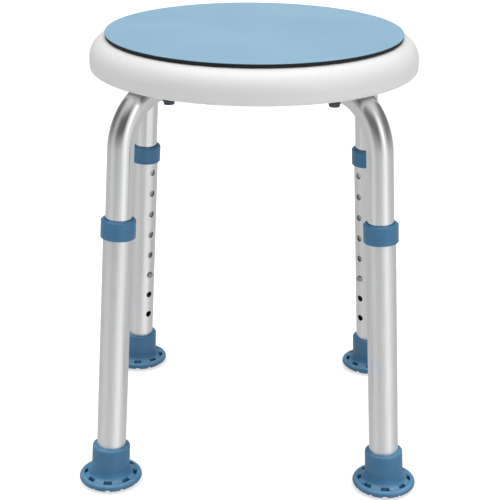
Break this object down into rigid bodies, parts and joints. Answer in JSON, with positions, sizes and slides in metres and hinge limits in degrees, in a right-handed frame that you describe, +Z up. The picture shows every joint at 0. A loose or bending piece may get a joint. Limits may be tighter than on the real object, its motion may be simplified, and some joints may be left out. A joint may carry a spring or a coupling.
{
  "type": "shower stool",
  "caption": "Round shower stool with a padded seat that swivels, a white moulded seat base, a crossed aluminium tube frame and splayed legs that adjust in height",
  "frame": {"origin": "centre of the four feet, on the floor", "axes": "+Z up, -Y towards the front; the legs stand on the diagonals"},
  "size_m": [0.3372, 0.3372, 0.431],
  "materials": {
    "tube_aluminium": "polished, lightly brushed along the tube",
    "white_plastic": "moulded, soft gloss",
    "race_steel": "pressed steel, oiled",
    "nylon": "moulded nylon",
    "ball_steel": "polished",
    "zinc_steel": "bright zinc plated",
    "dark_steel": "black zinc plated",
    "dark_plastic": "moulded",
    "brass": "turned",
    "grey_plastic": "moulded",
    "black_foam": "closed-cell foam",
    "blue_pad": "fine textured vinyl",
    "blue_plastic": "moulded, soft gloss",
    "blue_rubber": "moulded soft PVC",
    "button_steel": "bright plated",
    "spring_steel": "tempered strip"
  },
  "bodies": {
    "frame": {"frame_tube_a": "tube_aluminium", "frame_tube_b": "tube_aluminium", "seat_base": "white_plastic", "lower_race": "race_steel", "pivot_bolt": "zinc_steel", "pivot_top_washer": "zinc_steel", "pivot_bottom_washer": "zinc_steel", "pivot_nut": "zinc_steel", "seat_bolts": "dark_steel", "seat_bolt_saddles": "dark_plastic", "threaded_inserts": "brass", "snap_spring_fl": "spring_steel", "snap_spring_fr": "spring_steel", "snap_spring_rl": "spring_steel", "snap_spring_rr": "spring_steel"},
    "swivel_seat": {"turntable": "grey_plastic", "upper_race": "race_steel", "pivot_bush": "nylon", "seat_pad_foam": "black_foam", "seat_pad_cover": "blue_pad"},
    "ball_ring": {"ball_cage": "nylon", "bearing_balls": "ball_steel"},
    "leg_fl": {"leg_tube_fl": "tube_aluminium", "leg_collar_fl": "blue_plastic", "foot_fl": "blue_rubber", "foot_washer_fl": "zinc_steel"},
    "button_fl": {"snap_button_fl": "button_steel"},
    "leg_fr": {"leg_tube_fr": "tube_aluminium", "leg_collar_fr": "blue_plastic", "foot_fr": "blue_rubber", "foot_washer_fr": "zinc_steel"},
    "button_fr": {"snap_button_fr": "button_steel"},
    "leg_rl": {"leg_tube_rl": "tube_aluminium", "leg_collar_rl": "blue_plastic", "foot_rl": "blue_rubber", "foot_washer_rl": "zinc_steel"},
    "button_rl": {"snap_button_rl": "button_steel"},
    "leg_rr": {"leg_tube_rr": "tube_aluminium", "leg_collar_rr": "blue_plastic", "foot_rr": "blue_rubber", "foot_washer_rr": "zinc_steel"},
    "button_rr": {"snap_button_rr": "button_steel"}
  },
  "joints": [
    {"name": "seat_swivel", "type": "hinge", "parent": "frame", "child": "swivel_seat", "pos_m": [0, 0, 0.42], "axis": [0, 0, 1], "continuous": true},
    {"name": "ball_ring_turn", "type": "hinge", "parent": "frame", "child": "ball_ring", "pos_m": [0, 0, 0.42], "axis": [0, 0, 1], "continuous": true},
    {"name": "leg_fl_height", "type": "slide", "parent": "frame", "child": "leg_fl", "axis": [-0.0514, -0.0514, -0.9974], "range_m": [-0.0508, 0.1016]},
    {"name": "button_fl_press", "type": "slide", "parent": "frame", "child": "button_fl", "axis": [-0.7052, -0.7052, 0.0727], "range_m": [0, 0.0045], "stiffness_N_per_m": 600, "deforming": ["snap_spring_fl"]},
    {"name": "leg_fr_height", "type": "slide", "parent": "frame", "child": "leg_fr", "axis": [0.0514, -0.0514, -0.9974], "range_m": [-0.0508, 0.1016]},
    {"name": "button_fr_press", "type": "slide", "parent": "frame", "child": "button_fr", "axis": [0.7052, -0.7052, 0.0727], "range_m": [0, 0.0045], "stiffness_N_per_m": 600, "deforming": ["snap_spring_fr"]},
    {"name": "leg_rl_height", "type": "slide", "parent": "frame", "child": "leg_rl", "axis": [-0.0514, 0.0514, -0.9974], "range_m": [-0.0508, 0.1016]},
    {"name": "button_rl_press", "type": "slide", "parent": "frame", "child": "button_rl", "axis": [-0.7052, 0.7052, 0.0727], "range_m": [0, 0.0045], "stiffness_N_per_m": 600, "deforming": ["snap_spring_rl"]},
    {"name": "leg_rr_height", "type": "slide", "parent": "frame", "child": "leg_rr", "axis": [0.0514, 0.0514, -0.9974], "range_m": [-0.0508, 0.1016]},
    {"name": "button_rr_press", "type": "slide", "parent": "frame", "child": "button_rr", "axis": [0.7052, 0.7052, 0.0727], "range_m": [0, 0.0045], "stiffness_N_per_m": 600, "deforming": ["snap_spring_rr"]}
  ],
  "couplings": [
    {"joint": "ball_ring_turn", "follows": "seat_swivel", "ratio": 0.5}
  ]
}
